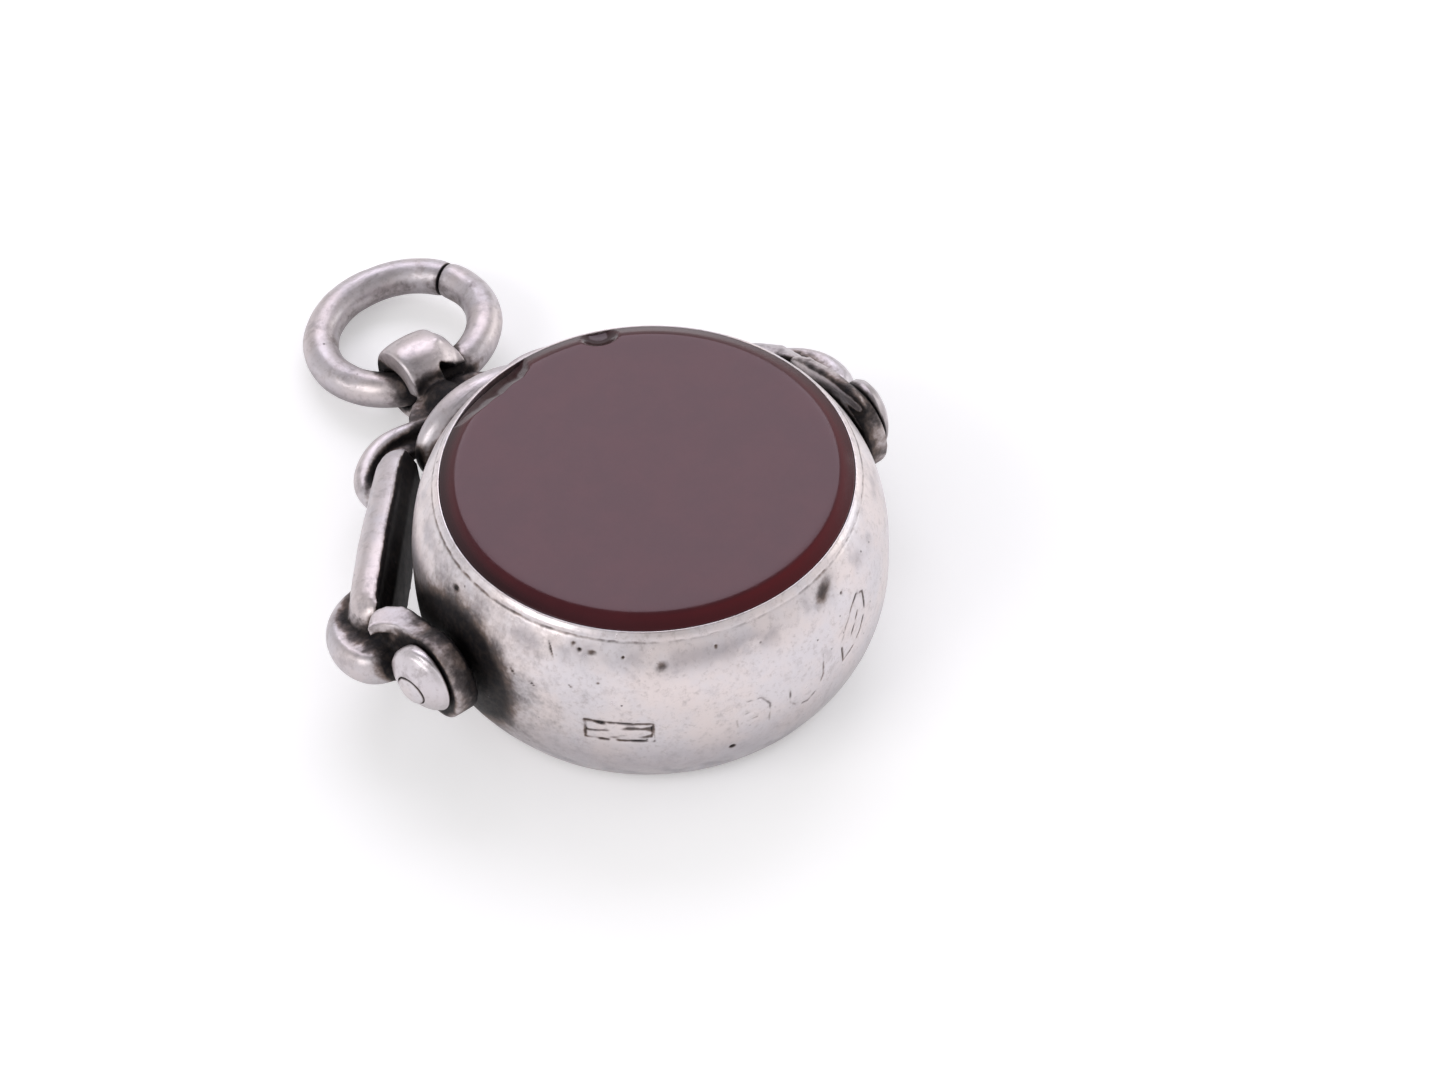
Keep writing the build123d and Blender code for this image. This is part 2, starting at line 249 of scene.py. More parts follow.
def makeStone(name, side, stands):
    table, bevel = np.linspace(0.02, 6.5, 12), np.linspace(7.33, stone["girdle"], 60)
    radii = np.concatenate([table, np.linspace(6.6, 7.3, 10), bevel])
    columns = stone["columns"]
    turn = np.radians(np.arange(columns) * 360.0 / columns)
    radius = np.repeat(radii[:, None], columns, axis=1)
    height = stoneTop(radius)
    if side > 0:
        x, y = radius * np.cos(turn), radius * np.sin(turn)
        angle, reach, over, ball = chip
        dx, dy = x - reach * math.cos(math.radians(angle)), y - reach * math.sin(math.radians(angle))
        under = stone["top"] + over - np.sqrt(np.maximum(ball ** 2 - dx ** 2 - dy ** 2, 0))
        bite = np.where(dx ** 2 + dy ** 2 < ball ** 2, under + 0.008 * np.sin(np.hypot(dx, dy) * 11.0), 99.0)
        height = np.minimum(height, np.maximum(bite, 3.6))
        start = np.interp(np.degrees(turn) % 360, flake["turns"], flake["starts"], left=9.0, right=9.0)[None, :]
        bite = stone["top"] - (radius - start) * flake["fall"]
        height = np.minimum(height, np.where(radius > start, bite, 99.0))
    rim = [(stone["girdle"], stone["lipHeight"] - 0.6), (stone["girdle"], stone["bottom"]), (0.02, stone["bottom"])]
    radius = np.concatenate([radius, [[r] * columns for r, h in rim]])
    height = np.concatenate([height, [[h] * columns for r, h in rim]])
    verts = np.stack([radius * np.cos(turn), radius * np.sin(turn) * side, height * side + midHeight], axis=-1)
    piece = makePiece(name, verts.reshape(-1, 3), gridFaces(len(radius), columns), "stone", "drum", stands)
    # dirt in the joint with painted shade of the lip, the dark broken faces of the chips, and a painted glow where
    # light comes through the edge
    packedAndShaded, glowByTurn = [np.interp(np.degrees(turn), *zip(*stone[key])) for key in ("packedAndShaded", "paintedGlow")]
    # dark joint with the lip plus painted shade of the lip
    dirt = smoothStep(stone["table"] + 0.1, stone["girdle"] - 0.1, radius) * packedAndShaded
    whole = stoneTop(np.minimum(radius, stone["girdle"]))
    broken = smoothStep(0.01, 0.06, whole - height) * (radius < stone["girdle"] - 0.01) * (side > 0)
    dirt = np.maximum(dirt, 0.75 * broken)
    paintedGlow = smoothStep(stone["table"] - 0.05, stone["table"] + 0.15, radius) * glowByTurn
    for name, values in (("recessAndShade", dirt), ("paintedGlow", paintedGlow)):
        layer = piece.data.attributes.new(name, "FLOAT", "POINT")
        layer.data.foreach_set("value", np.clip(values, 0, 1).astype(np.float32).ravel())
    return piece


# buttons

def makeButton(name, side, stands):
    # domed washer, bored off its centre so that it sits above the rivet
    radius, thick, rise = button["radius"], button["thick"], button["rise"]
    rim = thick * button["rim"]
    dome = (radius ** 2 + (thick - rim) ** 2) / (2 * (thick - rim))
    turn = np.radians(np.arange(button["columns"]) * 360.0 / button["columns"])
    rings = []
    for share in np.linspace(0, 1, 30):
        across = button["hole"] + (radius - button["hole"]) * share
        y, z = across * np.cos(turn), across * np.sin(turn) + rise * share
        out = thick - dome + np.sqrt(np.maximum(dome ** 2 - y ** 2 - (z - rise) ** 2, 0))
        worn = smoothStep(0.8, 1.0, share) ** 2 + 0.4 * smoothStep(0.1, 0.0, share)
        out += button["lean"] * y * side - button["edge"] * worn
        rings.append(np.stack([button["base"] + out, y, z], axis=-1))
    under = ((radius + 0.02, 0.6, rise), (radius, 0.2, rise), (radius - 0.08, 0.0, rise),
             (button["hole"], 0.0, 0.0))
    for across, low, centre in under:
        y = across * np.cos(turn)
        out = low * (rim + button["lean"] * y * side)
        rings.append(np.stack([button["base"] + out, y, across * np.sin(turn) + centre], axis=-1))
    verts = np.concatenate(rings)
    flat = wobble(verts, 0.8, 4 + side)
    verts[:, 0] += np.minimum(flat, 0) * button["flats"] * (verts[:, 0] > button["base"] + rim * 0.8)
    verts = np.stack([verts[:, 0] * side, verts[:, 1] * side, verts[:, 2] + midHeight], axis=-1)
    return makePiece(name, verts, gridFaces(len(rings), button["columns"], True), "silver", "drum", stands)


# jump ring's place, which the eye is shaped round

ring = {
    "wire": 0.81, "radius": 3.68, "pitch": 6.6, "roll": 4.0,
    "seamTurn": 21.5, "seamWide": 0.035, "columns": 640, "rows": 56, "unevenness": 0.018,
}
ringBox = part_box("jump_ring")
ringLay = (Matrix.Translation((ringBox[0] + ringBox[1]) * 500)
           @ Matrix.Rotation(math.radians(-ring["pitch"]), 4, "X")
           @ Matrix.Rotation(math.radians(-ring["roll"]), 4, "Y"))


# frame

casting = {"grain": 0.085, "softening": 7, "unevenness": 0.03}
# half outlines of two thin plates, aside and reach, and the levels they lie between
solder = {
    "points": [(-0.5, 13.5), (2.6, 13.7), (2.25, 14.5), (1.6, 15.1), (0.9, 15.5), (-0.5, 15.4)],
    "low": -0.65, "high": 0.25,
}
web = {
    "points": [(1.6, 13.6), (2.8, 13.75), (3.8, 13.75), (4.9, 13.2), (5.3, 11.9), (4.4, 12.2), (3.9, 12.75),
               (2.6, 12.7), (1.6, 12.6)],
    "low": -0.62, "high": -0.08,
}
eye = {
    "reach": 16.85, "low": 1.84, "outer": 1.84, "roundness": 0.16, "halfWidth": 1.15, "room": 0.07,
    "stripFrom": -1.1, "stripTo": 0.12, "stripLow": -78, "lobeTo": 1.62, "back": 252,
    # how far down the broad side of the loop reaches, aside by aside
    "lobeLow": ((0.0, -8), (0.12, -14), (0.5, -32), (1.1, -46), (1.7, -54)),
}
strap = {
    "stand": 10.52, "lean": 48.6, "square": 2.7,
    # how far the crest stands off the flat back, place by place
    "crestOut": ((-6.35, 0.3), (-5.2, 0.4), (3.2, 0.72), (4.6, 0.4)),
    # along the strap from its top: place, thickness, half height above and below its middle
    "stations": ((-6.35, 0.81, 0.75, 0.8), (-6.15, 1.21, 1.12, 1.15), (-5.8, 1.51, 1.38, 1.4), (-5.2, 1.66, 1.5, 1.55),
                 (-3.0, 1.76, 1.62, 1.85), (0.0, 1.82, 1.72, 2.1), (2.5, 1.78, 1.68, 2.1), (3.8, 1.7, 1.6, 1.95),
                 (4.3, 1.4, 1.35, 1.6), (4.6, 0.8, 0.9, 1.1)),
}
heel = {"middle": (10.26, 3.88), "radius": 2.35, "clear": 11.1, "low": -1.0, "high": 0.4}
# rounded masses melted into the casting: middle, half sizes, turn about the upright axis
lumps = {
    "neck": ((-0.3, 14.3, 0.0), (1.0, 1.3, 0.85), 0),
    "rightEarTop": ((10.75, 1.25, 1.6), (0.58, 2.55, 0.76), 0),
}
droop = math.asin((midHeight - eye["low"]) / eye["reach"])
drooped = Matrix.Translation((0, 0, midHeight)) @ Matrix.Rotation(-droop, 4, "X")


def addWebs(bm):
    for plate in (web, solder):
        for side in (-1, 1):
            skin(bm, [[(side * x, y, level) for x, y in plate["points"]] for level in (plate["low"], plate["high"])])


def wireCentre(aside):
    # where the ring's wire crosses the eye, at a distance aside, on the undrooped frame
    best = None
    for turn in np.radians(np.arange(-150, -30, 1.0)):
        onRing = Vector((ring["radius"] * math.cos(turn), ring["radius"] * math.sin(turn), 0))
        spot = drooped.inverted() @ (ringLay @ onRing)
        if best is None or abs(spot.x - aside) < abs(best.x - aside):
            best = spot
    return best.y - eye["reach"], best.z


def addBand(bm, fromX, toX, low, high):
    # thick part of the eye, from the ring's wire out to the eye's dome
    rows = []
    for x in np.linspace(fromX, toX, 13):
        turns = np.radians(np.linspace(np.interp(x, *zip(*low)), high, 60))
        y0, z0 = wireCentre(x)
        outer = eye["outer"] * (1 - eye["roundness"] * abs(x / eye["halfWidth"]) ** 2.6)
        inside, outside = [], []
        for t in turns:
            dy, dz = math.sin(t), math.cos(t)
            along = y0 * dy + z0 * dz
            far = -along + math.sqrt(max(along ** 2 + outer ** 2 - y0 ** 2 - z0 ** 2, 0))
            near = ring["wire"] + eye["room"]
            far = max(far, near + 0.3)
            inside.append((x, eye["reach"] + y0 + near * dy, z0 + near * dz))
            outside.append((x, eye["reach"] + y0 + far * dy, z0 + far * dz))
        rows.append(outside + inside[::-1])
    skin(bm, rows)


def addLump(bm, middle, sizes, turn):
    place = drooped @ Matrix.Translation(middle) @ Matrix.Rotation(math.radians(turn), 4, "X")
    bmesh.ops.create_uvsphere(bm, u_segments=40, v_segments=24, radius=1, matrix=place @ Matrix.Diagonal(sizes + (1,)))


def skin(bm, rows):
    # closes rows of points, one loop of the surface each, into a solid
    rows = [[bm.verts.new(drooped @ Vector(p)) for p in row] for row in rows]
    count = len(rows[0])
    for a, b in zip(rows[:-1], rows[1:]):
        for i in range(count):
            bm.faces.new((a[i], a[(i + 1) % count], b[(i + 1) % count], b[i]))
    bm.faces.new(rows[0][::-1])
    bm.faces.new(rows[-1])


def addStrap(bm, side):
    # square-shouldered bar with a flat back, a little deeper below than above
    lean = math.radians(strap["lean"])
    out, down = Vector((side * math.sin(lean), math.cos(lean), 0)), Vector((side * math.cos(lean), -math.sin(lean), 0))
    turns = np.radians(np.linspace(-90, 90, 41))
    places = [station[0] for station in strap["stations"]]
    rows = []
    sizes = [[station[k] for station in strap["stations"]] for k in (1, 2, 3)]
    for along in np.concatenate([np.linspace(places[0], places[3], 9), np.linspace(places[3], places[-1], 12)[1:]]):
        thick, above, below = [np.interp(along, places, size) for size in sizes]
        crest = np.interp(along, *zip(*strap["crestOut"]))
        row = [out * strap["stand"] + down * along + Vector((0, 0, 0.15 * above))]
        for t in turns:
            away = crest if t > 0 else 0
            rise = away + (thick - away) * abs(math.cos(t)) ** (2 / strap["square"])
            high = (above if t > 0 else below) * abs(math.sin(t)) ** (2 / strap["square"]) * np.sign(t)
            row.append(out * (strap["stand"] + rise) + down * along + Vector((0, 0, high)))
        rows.append(row)
    skin(bm, rows)


def addHeelFloor(bm, side):
    # raises the floor inside the scroll, clear of the drum
    x0, y0 = heel["middle"]
    outline = []
    for t in np.radians(np.arange(0, 360, 6)):
        x, y = x0 + heel["radius"] * math.cos(t), y0 + heel["radius"] * math.sin(t)
        stretch = max(1.0, heel["clear"] / math.hypot(x, y))
        outline.append((side * x * stretch, y * stretch))
    skin(bm, [[(x, y, level) for x, y in outline] for level in (heel["low"], heel["high"])])


def clearOfWire(verts):
    # keeps the eye off the jump ring's wire
    local = turned(verts, ringLay.inverted())
    around = np.hypot(local[:, 0], local[:, 1])
    off = np.stack([around - ring["radius"], local[:, 2]], axis=-1)
    far = np.linalg.norm(off, axis=1)
    push = np.maximum(far, ring["wire"] + 0.04) / far
    newAround = ring["radius"] + off[:, 0] * push
    local[:, :2] *= (newAround / around)[:, None]
    local[:, 2] = off[:, 1] * push
    return turned(local, ringLay)


def makeFrame():
    # the casting, melted together from its parts and softened
    bm = bmesh.new()
    bm.from_mesh(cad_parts["swivel_frame"].data)
    bmesh.ops.scale(bm, vec=(1000, 1000, 1000), verts=bm.verts)
    bmesh.ops.remove_doubles(bm, verts=bm.verts, dist=0.0005)
    addWebs(bm)
    addBand(bm, eye["stripFrom"], eye["stripTo"], ((0, eye["stripLow"]), (1, eye["stripLow"])), eye["back"])
    addBand(bm, eye["stripTo"] - 0.12, eye["lobeTo"], eye["lobeLow"], eye["back"])
    for side in (-1, 1):
        addStrap(bm, side)
        addHeelFloor(bm, side)
    for middle, sizes, turn in lumps.values():
        addLump(bm, middle, sizes, turn)
    bmesh.ops.recalc_face_normals(bm, faces=bm.faces)
    rough = bpy.data.meshes.new("castingRough")
    bm.to_mesh(rough)
    bm.free()
    maker = bpy.data.objects.new("castingRough", rough)
    bpy.context.scene.collection.objects.link(maker)
    remesh = maker.modifiers.new("melt", "REMESH")
    remesh.mode = "VOXEL"
    remesh.voxel_size = casting["grain"]
    remesh.use_smooth_shade = True
    soften = maker.modifiers.new("soften", "SMOOTH")
    soften.factor = 0.5
    soften.iterations = casting["softening"]
    view = bpy.context.evaluated_depsgraph_get()
    mesh = bpy.data.meshes.new_from_object(maker.evaluated_get(view))
    bpy.data.objects.remove(maker)
    mesh.name = "swivelFrame"
    piece = bpy.data.objects.new("swivelFrame", mesh)
    bpy.context.scene.collection.objects.link(piece)
    piece["slot"], piece["body"], piece["stands"] = "silver", "frame", "swivel_frame"
    verts, normals = readVerts(mesh)
    shift = wobble(verts, 1.6, 7) - 0.5
    verts += normals * (shift * casting["unevenness"])[:, None]
    verts = clearOfWire(verts)
    verts[:, 2] = np.maximum(verts[:, 2], 0.0)
    mesh.vertices.foreach_set("co", verts.astype(np.float32).ravel())
    mesh.update()
    return piece


# jump ring

# dents in the wire: angle round the ring, angle round the wire, size, depth
ringDents = [(2.0, 60.0, 0.35, 0.05), (200.0, 70.0, 0.3, 0.05), (128.0, 75.0, 0.5, 0.03), (75.0, 50.0, 0.3, 0.03)]


def makeRing():
    columns, rows = ring["columns"], ring["rows"]
    angle = (np.arange(columns) + 0.5) * 360.0 / columns
    around = np.arange(rows) * 360.0 / rows
    a, w = np.meshgrid(angle, around)
    away = (a - ring["seamTurn"] + 180) % 360 - 180
    wire = np.full_like(a, ring["wire"])
    seam = np.radians(np.abs(away)) * ring["radius"]
    wire -= 0.05 * np.exp(-(seam / 0.2) ** 2) + 0.3 * np.exp(-(seam / ring["seamWide"]) ** 2)
    for turn, side, size, deep in ringDents:
        x = np.radians((a - turn + 180) % 360 - 180) * ring["radius"]
        y = np.radians((w - side + 180) % 360 - 180) * ring["wire"]
        wire -= deep * np.exp(-(x ** 2 + y ** 2) / size ** 2)
    at, wt = np.radians(a), np.radians(w)
    spots = np.stack([4 * np.cos(at), 4 * np.sin(at), np.sin(wt)], axis=-1).reshape(-1, 3)
    wire += (wobble(spots, 0.9, 9).reshape(rows, columns) - 0.8) * ring["unevenness"]
    reach = ring["radius"] + wire * np.cos(wt)
    verts = np.stack([reach * np.cos(at), reach * np.sin(at), wire * np.sin(wt)], axis=-1).reshape(-1, 3)
    return makePiece("jumpRing", turned(verts, ringLay), gridFaces(rows, columns, True), "silver", "frame", "jump_ring")


# tarnish in the recesses, and painted shade and shadow

# rays for what is shut in, and strengths: behind lays tarnish with painted shade, inside lays painted shade
recessAndShade = {
    "reach": 2.6, "rays": 20, "lift": 0.02,
    "pivot": 0.5, "pivotReach": 2.75, "brown": 0.2, "brownReach": 6.3,
    "behind": 0.4, "disc": 0.3, "neck": 0.4, "inside": 0.14, "scroll": 0.22,
    "crest": 0.13, "earFace": 0.75, "rightStrap": 0.14, "ringPatch": 0.1, "farWall": 0.6,
}


def readVerts(mesh):
    count = len(mesh.vertices)
    verts, normals = np.zeros(count * 3, np.float32), np.zeros(count * 3, np.float32)
    mesh.vertices.foreach_get("co", verts)
    mesh.vertices.foreach_get("normal", normals)
    return verts.reshape(-1, 3).astype(float), normals.reshape(-1, 3).astype(float)


def rayFan(count):
    # directions over a half ball, more of them near its pole
    fan = []
    for i in range(count):
        up = math.sqrt(1 - (i + 0.5) / count)
        turn = i * 2.399963
        flat = math.sqrt(1 - up * up)
        fan.append((flat * math.cos(turn), flat * math.sin(turn), up))
    return fan


def onWall(verts):
    # angle and height of each point about the middle of the drum
    return np.degrees(np.arctan2(verts[:, 1], verts[:, 0])) % 360, verts[:, 2] - midHeight


def unrubbedAndShaded(node, verts, normals):
    # tarnish that hands and cloth leave alone, besides what is shut in, plus painted shade: on the frame's sides that
    # face the drum, which hold tarnish too, and on the jump ring's inner side
    fromAxis = np.hypot(verts[:, 1], verts[:, 2] - midHeight)
    fromMiddle = np.hypot(verts[:, 0], verts[:, 1])
    outer = np.abs(verts[:, 0])
    lay = turned(verts, drooped.inverted())
    if node == "drum_case":
        wall = (outer > 5) * (fromMiddle < drum["belly"] + 0.1)
        near = recessAndShade["pivot"] * np.exp(-(fromAxis / recessAndShade["pivotReach"]) ** 4)
        near += recessAndShade["brown"] * np.exp(-(fromAxis / recessAndShade["brownReach"]) ** 2)
        outside = (fromMiddle > drum["mouth"] + 0.03) * (fromMiddle < drum["belly"] + 0.2)
        return near * wall + wallMarks(*onWall(verts))[1] * outside
    if node == "swivel_frame":
        inwards = -(normals[:, 0] * verts[:, 0] + normals[:, 1] * verts[:, 1]) / np.maximum(fromMiddle, 1)
        facingDrum = smoothStep(0.35, 0.8, inwards)
        rightEar = (verts[:, 0] > 10) * (lay[:, 1] < 4)
        # painted shade with tarnish on the frame's sides that face the drum; on the right ear's upper part it is mostly
        # taken off again
        behind = recessAndShade["behind"] * facingDrum * (fromMiddle < 13)
        behind *= 1 - 0.9 * smoothStep(0.4, 1.5, lay[:, 2]) * rightEar
        crest = (recessAndShade["crest"] * smoothStep(0.9, 1.8, lay[:, 2]) - recessAndShade["earFace"] * facingDrum) * rightEar
        crest *= smoothStep(0.2, 1.2, lay[:, 2])
        rightStrap = smoothStep(6.5, 7.5, verts[:, 0]) * (lay[:, 1] >= 4)
        crest += recessAndShade["rightStrap"] * smoothStep(0.6, 1.5, lay[:, 2]) * rightStrap
        scroll = np.hypot(outer - heel["middle"][0], lay[:, 1] - heel["middle"][1] - 0.6)
        floor = smoothStep(0.3, 0.8, normals[:, 2]) * smoothStep(2.9, 1.6, scroll) * (lay[:, 2] < 0.9)
        crest += recessAndShade["scroll"] * floor
        disc = recessAndShade["disc"] * np.exp(-(fromAxis / 2.3) ** 4) * (outer > 10)
        neck = recessAndShade["neck"] * np.exp(-((lay[:, 0] / 2.6) ** 2 + ((lay[:, 1] - 14.2) / 1.15) ** 2))
        return behind + crest + disc + neck
    if node == "jump_ring":
        local = turned(verts, ringLay.inverted())
        facing = turned(normals, ringLay.to_3x3().to_4x4().inverted())
        inside = -(facing * local).sum(axis=1) / ring["radius"]
        neck = 0.5 * recessAndShade["neck"] * np.exp(-((lay[:, 0] + 1.2) ** 2 + (lay[:, 1] - 15.2) ** 2) / 2.2)
        patches = recessAndShade["ringPatch"] * smoothStep(0.0, 0.5, wobble(verts, 1.3, 33))
        # painted shade on the ring's inner side; the neck and the patches are tarnish
        return neck + recessAndShade["inside"] * smoothStep(0.1, 0.9, inside) + patches
    return 0 * outer


def greyFilmAndShade(node, verts, normals):
    # grey film from 0 to 1: painted shade on what faces down and darkening the drum's wall towards the bottom, real
    # smudges in a band under the drum's lip and dirt in its marks; the right button has an uneven film instead
    filmAndShade = 0.6 * smoothStep(0.0, 0.9, -normals[:, 2])
    if node == "jump_ring":
        filmAndShade = 0.8 * smoothStep(-0.5, 0.5, -normals[:, 2])
    if node == "right_button":
        filmAndShade = 0.3 + 0.5 * smoothStep(0.1, 0.6, wobble(verts, 0.9, 31) + 0.35)
    if node == "drum_case":
        angle, height = onWall(verts)
        patch = smoothStep(-0.25, 0.45, wobble(verts, 1.5, 21) + 0.5 * wobble(verts, 0.5, 22))
        underLip = np.exp(-((np.abs(height) - 3.4) / 0.45) ** 2)
        # painted shade: darker towards the bottom of the wall, standing in for the shadowed floor it reflects; the
        # patches under the lip are smudges
        filmAndShade = 0.62 * smoothStep(0.3, -2.9, height) + 0.5 * patch * underLip
        filmAndShade *= smoothStep(4.16, 4.0, height)
        filmAndShade = np.maximum(filmAndShade, 0.6 * np.minimum(wallMarks(angle, height)[1], 1))
    return filmAndShade


def paintRecess(pieces):
    # stores how shut in each point is, from 0 in the open to 1 in a deep corner, which gives tarnish in the hollows and
    # a painted shadow of the frame on the drum's wall; unrubbed tarnish with painted shade is added, and the grey film
    # with painted shade is stored too
    allVerts, allFaces, start = [], [], 0
    for piece in pieces:
        verts, normals = readVerts(piece.data)
        allVerts += [tuple(v) for v in verts]
        allFaces += [tuple(i + start for i in p.vertices) for p in piece.data.polygons]
        start += len(verts)
    tree = BVHTree.FromPolygons(allVerts, allFaces)
    fan = rayFan(recessAndShade["rays"])
    for piece in pieces:
        verts, normals = readVerts(piece.data)
        shut = np.zeros(len(verts))
        for i, (v, n) in enumerate(zip(verts, normals)):
            n = Vector(n)
            side = n.orthogonal().normalized()
            over = n.cross(side)
            base = Vector(v) + n * recessAndShade["lift"]
            total = 0.0
            for x, y, z in fan:
                hit = tree.ray_cast(base, side * x + over * y + n * z, recessAndShade["reach"])
                if hit[3] is not None:
                    total += 1 - (hit[3] / recessAndShade["reach"]) ** 2
            shut[i] = total / len(fan)
        # painted shadow: what the frame shuts in on the drum's wall at rest is shade of the frame, weakened on the far
        # side
        if piece["stands"] == "drum_case":
            shut *= 1 - recessAndShade["farWall"] * smoothStep(2.0, 5.5, verts[:, 1])        # rubbed too, as the drum spins
        shut = spread(piece.data, shut, 3) + unrubbedAndShaded(piece["stands"], verts, normals)
        for name, values in (("recessAndShade", shut), ("hazeAndShade", greyFilmAndShade(piece["stands"], verts, normals))):
            layer = piece.data.attributes.new(name, "FLOAT", "POINT")
            layer.data.foreach_set("value", values.astype(np.float32))


def spread(mesh, values, times):
    # evens the values out over neighbouring points
    ends = np.zeros(len(mesh.edges) * 2, np.int32)
    mesh.edges.foreach_get("vertices", ends)
    a, b = ends[0::2], ends[1::2]
    count = np.bincount(a, minlength=len(values)) + np.bincount(b, minlength=len(values))
    for _ in range(times):
        total = np.bincount(a, values[b], len(values)) + np.bincount(b, values[a], len(values))
        values = 0.5 * values + 0.5 * total / np.maximum(count, 1)
    return values


# materials

def doMath(tree, kind, first, second=None, third=None, clamp=False):
    node = tree.nodes.new("ShaderNodeMath")
    node.operation = kind
    node.use_clamp = clamp
    for socket, value in zip(node.inputs, (first, second, third)):
        if value is None:
            continue
        if isinstance(value, (int, float)):
            socket.default_value = value
        else:
            tree.links.new(value, socket)
    return node.outputs[0]


def remap(tree, value, low, high, toLow=0.0, toHigh=1.0):
    node = tree.nodes.new("ShaderNodeMapRange")
    node.interpolation_type = "SMOOTHSTEP"
    tree.links.new(value, node.inputs["Value"])
    for key, number in (("From Min", low), ("From Max", high), ("To Min", toLow), ("To Max", toHigh)):
        node.inputs[key].default_value = number
    return node.outputs["Result"]


def mixColors(tree, share, first, second, blend="MIX"):
    node = tree.nodes.new("ShaderNodeMix")
    node.data_type = "RGBA"
    node.blend_type = blend
    for socket, value in ((node.inputs[0], share), (node.inputs[6], first), (node.inputs[7], second)):
        if isinstance(value, (int, float)):
            socket.default_value = value
        elif isinstance(value, tuple):
            socket.default_value = value + (1.0,)
        else:
            tree.links.new(value, socket)
    return node.outputs[2]


def stretchedPoint(tree, point, turn, stretch):
    node = tree.nodes.new("ShaderNodeMapping")
    node.inputs["Rotation"].default_value = turn
    node.inputs["Scale"].default_value = stretch
    tree.links.new(point, node.inputs["Vector"])
    return node.outputs[0]


def noiseOf(tree, point, scale, detail=3.0, rough=0.55):
    node = tree.nodes.new("ShaderNodeTexNoise")
    node.inputs["Scale"].default_value = scale
    node.inputs["Detail"].default_value = detail
    node.inputs["Roughness"].default_value = rough
    tree.links.new(point, node.inputs["Vector"])
    return node.outputs["Fac"]


def newGroup(name, inputs, outputs):
    group = bpy.data.node_groups.new(name, "ShaderNodeTree")
    for socketName, kind, default in inputs:
        socket = group.interface.new_socket(socketName, in_out="INPUT", socket_type=kind)
        if default is not None:
            socket.default_value = default
    for socketName, kind in outputs:
        group.interface.new_socket(socketName, in_out="OUTPUT", socket_type=kind)
    return group, group.nodes.new("NodeGroupInput"), group.nodes.new("NodeGroupOutput")


def buildScratches():
    # fine rubbing marks in several directions, 0 to 1
    group, given, result = newGroup(
        "fineScratches",
        [("Point", "NodeSocketVector", None), ("Density", "NodeSocketFloat", 0.5)],
        [("Marks", "NodeSocketFloat")])
    total = None
    for turn, stretch, scale in (((0.3, 0.9, 0.2), (1, 14, 1), 1.1), ((1.2, 0.1, 1.0), (18, 1, 1), 0.9),
                                 ((0.7, 2.0, 2.2), (1, 1, 16), 1.3), ((2.1, 0.5, 0.8), (1, 22, 2), 0.7)):
        point = stretchedPoint(group, given.outputs["Point"], turn, stretch)
        line = noiseOf(group, point, scale, 2.0, 0.6)
        ridge = doMath(group, "ABSOLUTE", doMath(group, "SUBTRACT", line, 0.5))
        mark = remap(group, ridge, 0.0, 0.02, 1.0, 0.0)
        where = remap(group, noiseOf(group, given.outputs["Point"], 0.33 * scale, 2.0), 0.42, 0.62)
        mark = doMath(group, "MULTIPLY", mark, where)
        total = mark if total is None else doMath(group, "MAXIMUM", total, mark)
    total = doMath(group, "MULTIPLY", total, given.outputs["Density"])
    group.links.new(total, result.inputs["Marks"])
    return group


def buildPits():
    # scattered pin pricks, 0 to 1
    group, given, result = newGroup(
        "pinPits",
        [("Point", "NodeSocketVector", None), ("Scale", "NodeSocketFloat", 1.2), ("Size", "NodeSocketFloat", 0.07)],
        [("Pits", "NodeSocketFloat")])
    cells = group.nodes.new("ShaderNodeTexVoronoi")
    cells.inputs["Randomness"].default_value = 1.0
    group.links.new(given.outputs["Point"], cells.inputs["Vector"])
    group.links.new(given.outputs["Scale"], cells.inputs["Scale"])
    near = doMath(group, "DIVIDE", cells.outputs["Distance"], given.outputs["Size"])
    pit = remap(group, near, 0.4, 1.0, 1.0, 0.0)
    pick = group.nodes.new("ShaderNodeSeparateColor")
    group.links.new(cells.outputs["Color"], pick.inputs[0])
    some = doMath(group, "GREATER_THAN", pick.outputs[0], 0.72)
    group.links.new(doMath(group, "MULTIPLY", pit, some), result.inputs["Pits"])
    return group


